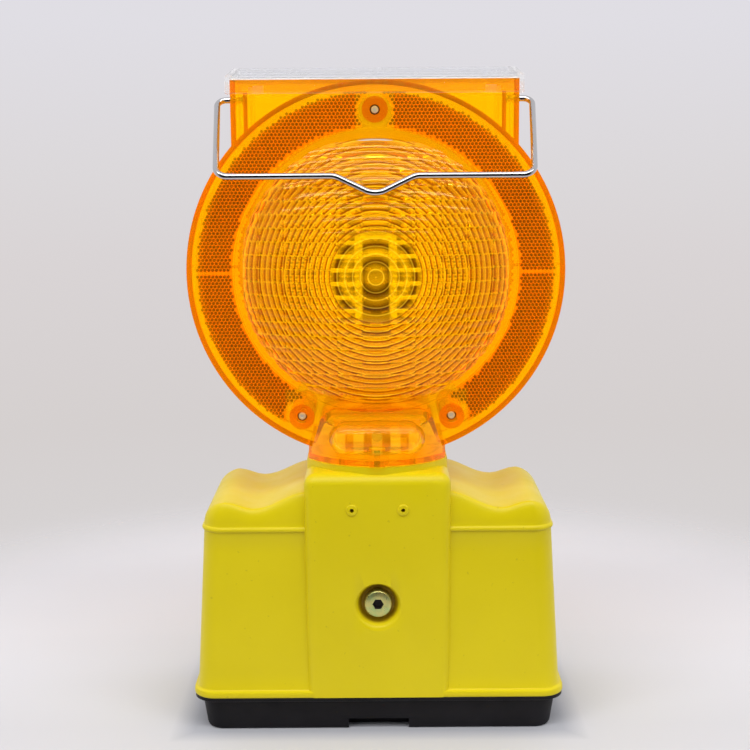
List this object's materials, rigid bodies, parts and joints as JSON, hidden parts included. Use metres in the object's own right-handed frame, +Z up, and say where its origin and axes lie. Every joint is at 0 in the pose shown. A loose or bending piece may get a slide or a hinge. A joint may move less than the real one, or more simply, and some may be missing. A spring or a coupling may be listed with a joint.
{
  "type": "barricade warning light",
  "caption": "Two-sided amber barricade warning light: round lens head with a solar cell and wire bail, swivelling on a battery case that a through bolt fastens.",
  "frame": {"origin": "on the ground, under the middle of the battery case", "axes": "+Z up along the head's swivel axis; the front lens and the bolt's head face -Y; +X to the right seen from the front"},
  "size_m": [0.191, 0.1335, 0.3342],
  "materials": {
    "lens_amber": "clear moulded polycarbonate",
    "cover_clear": "clear moulded polycarbonate",
    "seal_rubber": "soft",
    "screw_steel": "bright zinc",
    "solar_cell": "laminated silicon cell",
    "lead_jacket": "PVC jacket",
    "circuit_board": "solder mask",
    "led_resin": "clear resin",
    "bracket_plastic": "natural nylon",
    "component_black": "moulded packages",
    "photocell_body": "resin with a sensor track",
    "switch_black": "moulded nylon",
    "retainer_grey": "moulded acetal",
    "bail_chrome": "bright plated wire",
    "case_yellow": "satin moulded polypropylene",
    "tray_black": "matt moulded polypropylene",
    "bolt_zinc": "yellow zinc plating",
    "battery_jacket": "printed-free steel-look jacket",
    "contact_metal": "nickel plating",
    "board_brown": "phenolic board",
    "connector_white": "moulded nylon"
  },
  "bodies": {
    "case": {"case": "case_yellow", "base_tray": "tray_black", "mounting_bolt": "bolt_zinc", "bolt_sleeve": "screw_steel", "left_battery": "battery_jacket", "right_battery": "battery_jacket", "battery_terminals": "contact_metal", "contact_board": "board_brown", "contact_strips": "contact_metal", "contact_screws": "screw_steel", "case_socket": "connector_white", "head_plug": "connector_white", "swivel_seal": "seal_rubber"},
    "head": {"front_lens": "lens_amber", "rear_lens": "lens_amber", "lens_gasket": "seal_rubber", "lens_screws": "screw_steel", "solar_cover": "cover_clear", "solar_panel": "solar_cell", "solar_lead": "lead_jacket", "led_board": "circuit_board", "front_led": "led_resin", "rear_led": "led_resin", "led_bracket": "bracket_plastic", "control_board": "circuit_board", "control_parts": "component_black", "photocell": "photocell_body", "switch_body": "switch_black", "button_nut": "screw_steel", "swivel_retainer": "retainer_grey", "retainer_screws": "screw_steel", "head_lead": "lead_jacket"},
    "bail": {"bail": "bail_chrome"},
    "button": {"power_button": "switch_black"}
  },
  "joints": [
    {"name": "head_swivel", "type": "hinge", "parent": "case", "child": "head", "pos_m": [0, 0, 0.138], "axis": [0, 0, 1], "range_deg": [-90, 90]},
    {"name": "bail_swing", "type": "hinge", "parent": "head", "child": "bail", "pos_m": [0, 0, 0.3196], "axis": [-1, 0, 0], "range_deg": [0, 269]},
    {"name": "button_press", "type": "slide", "parent": "head", "child": "button", "axis": [0, -1, 0], "range_m": [0, 0.002], "stiffness_N_per_m": 600}
  ]
}
